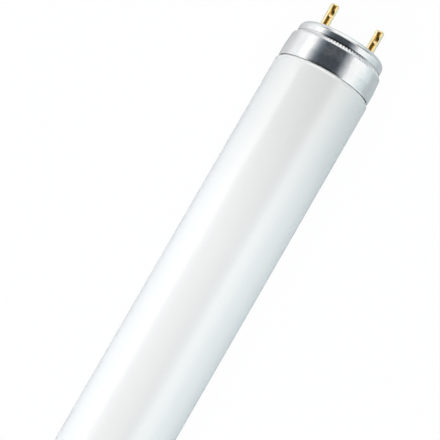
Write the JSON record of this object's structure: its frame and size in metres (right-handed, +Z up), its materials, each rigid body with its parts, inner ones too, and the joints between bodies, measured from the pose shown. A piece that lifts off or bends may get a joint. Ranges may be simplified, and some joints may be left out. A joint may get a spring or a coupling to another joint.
{
  "type": "fluorescent tube",
  "caption": "Straight fluorescent tube with white coated glass, a drawn aluminium cap at each end and brass contact pins for a standard lamp holder.",
  "frame": {"origin": "middle of the tube's length, on its lowest line, so the tube lies on z = 0", "axes": "+X along the tube to its front end, +Y across in the plane of the pins, +Z up"},
  "size_m": [0.604, 0.0254, 0.0255],
  "materials": {
    "coated_glass": "clear gloss glass over an opaque white powder coating",
    "cap_aluminium": "bright drawn sheet with a fine grain",
    "pin_insulator": "matt moulded phenolic",
    "pin_brass": "polished",
    "cap_cement": "matt baked cement",
    "lead_wire": "bright drawn nickel-plated wire"
  },
  "bodies": {
    "root": {"glass_bulb": "coated_glass", "cap_shell_front": "cap_aluminium", "cap_shell_rear": "cap_aluminium", "pin_plate_front": "pin_insulator", "pin_plate_rear": "pin_insulator", "contact_pin_front_left": "pin_brass", "contact_pin_front_right": "pin_brass", "contact_pin_rear_left": "pin_brass", "contact_pin_rear_right": "pin_brass", "cement_ring_front": "cap_cement", "cement_ring_rear": "cap_cement", "lead_wire_front_left": "lead_wire", "lead_wire_front_right": "lead_wire", "lead_wire_rear_left": "lead_wire", "lead_wire_rear_right": "lead_wire"}
  },
  "joints": []
}
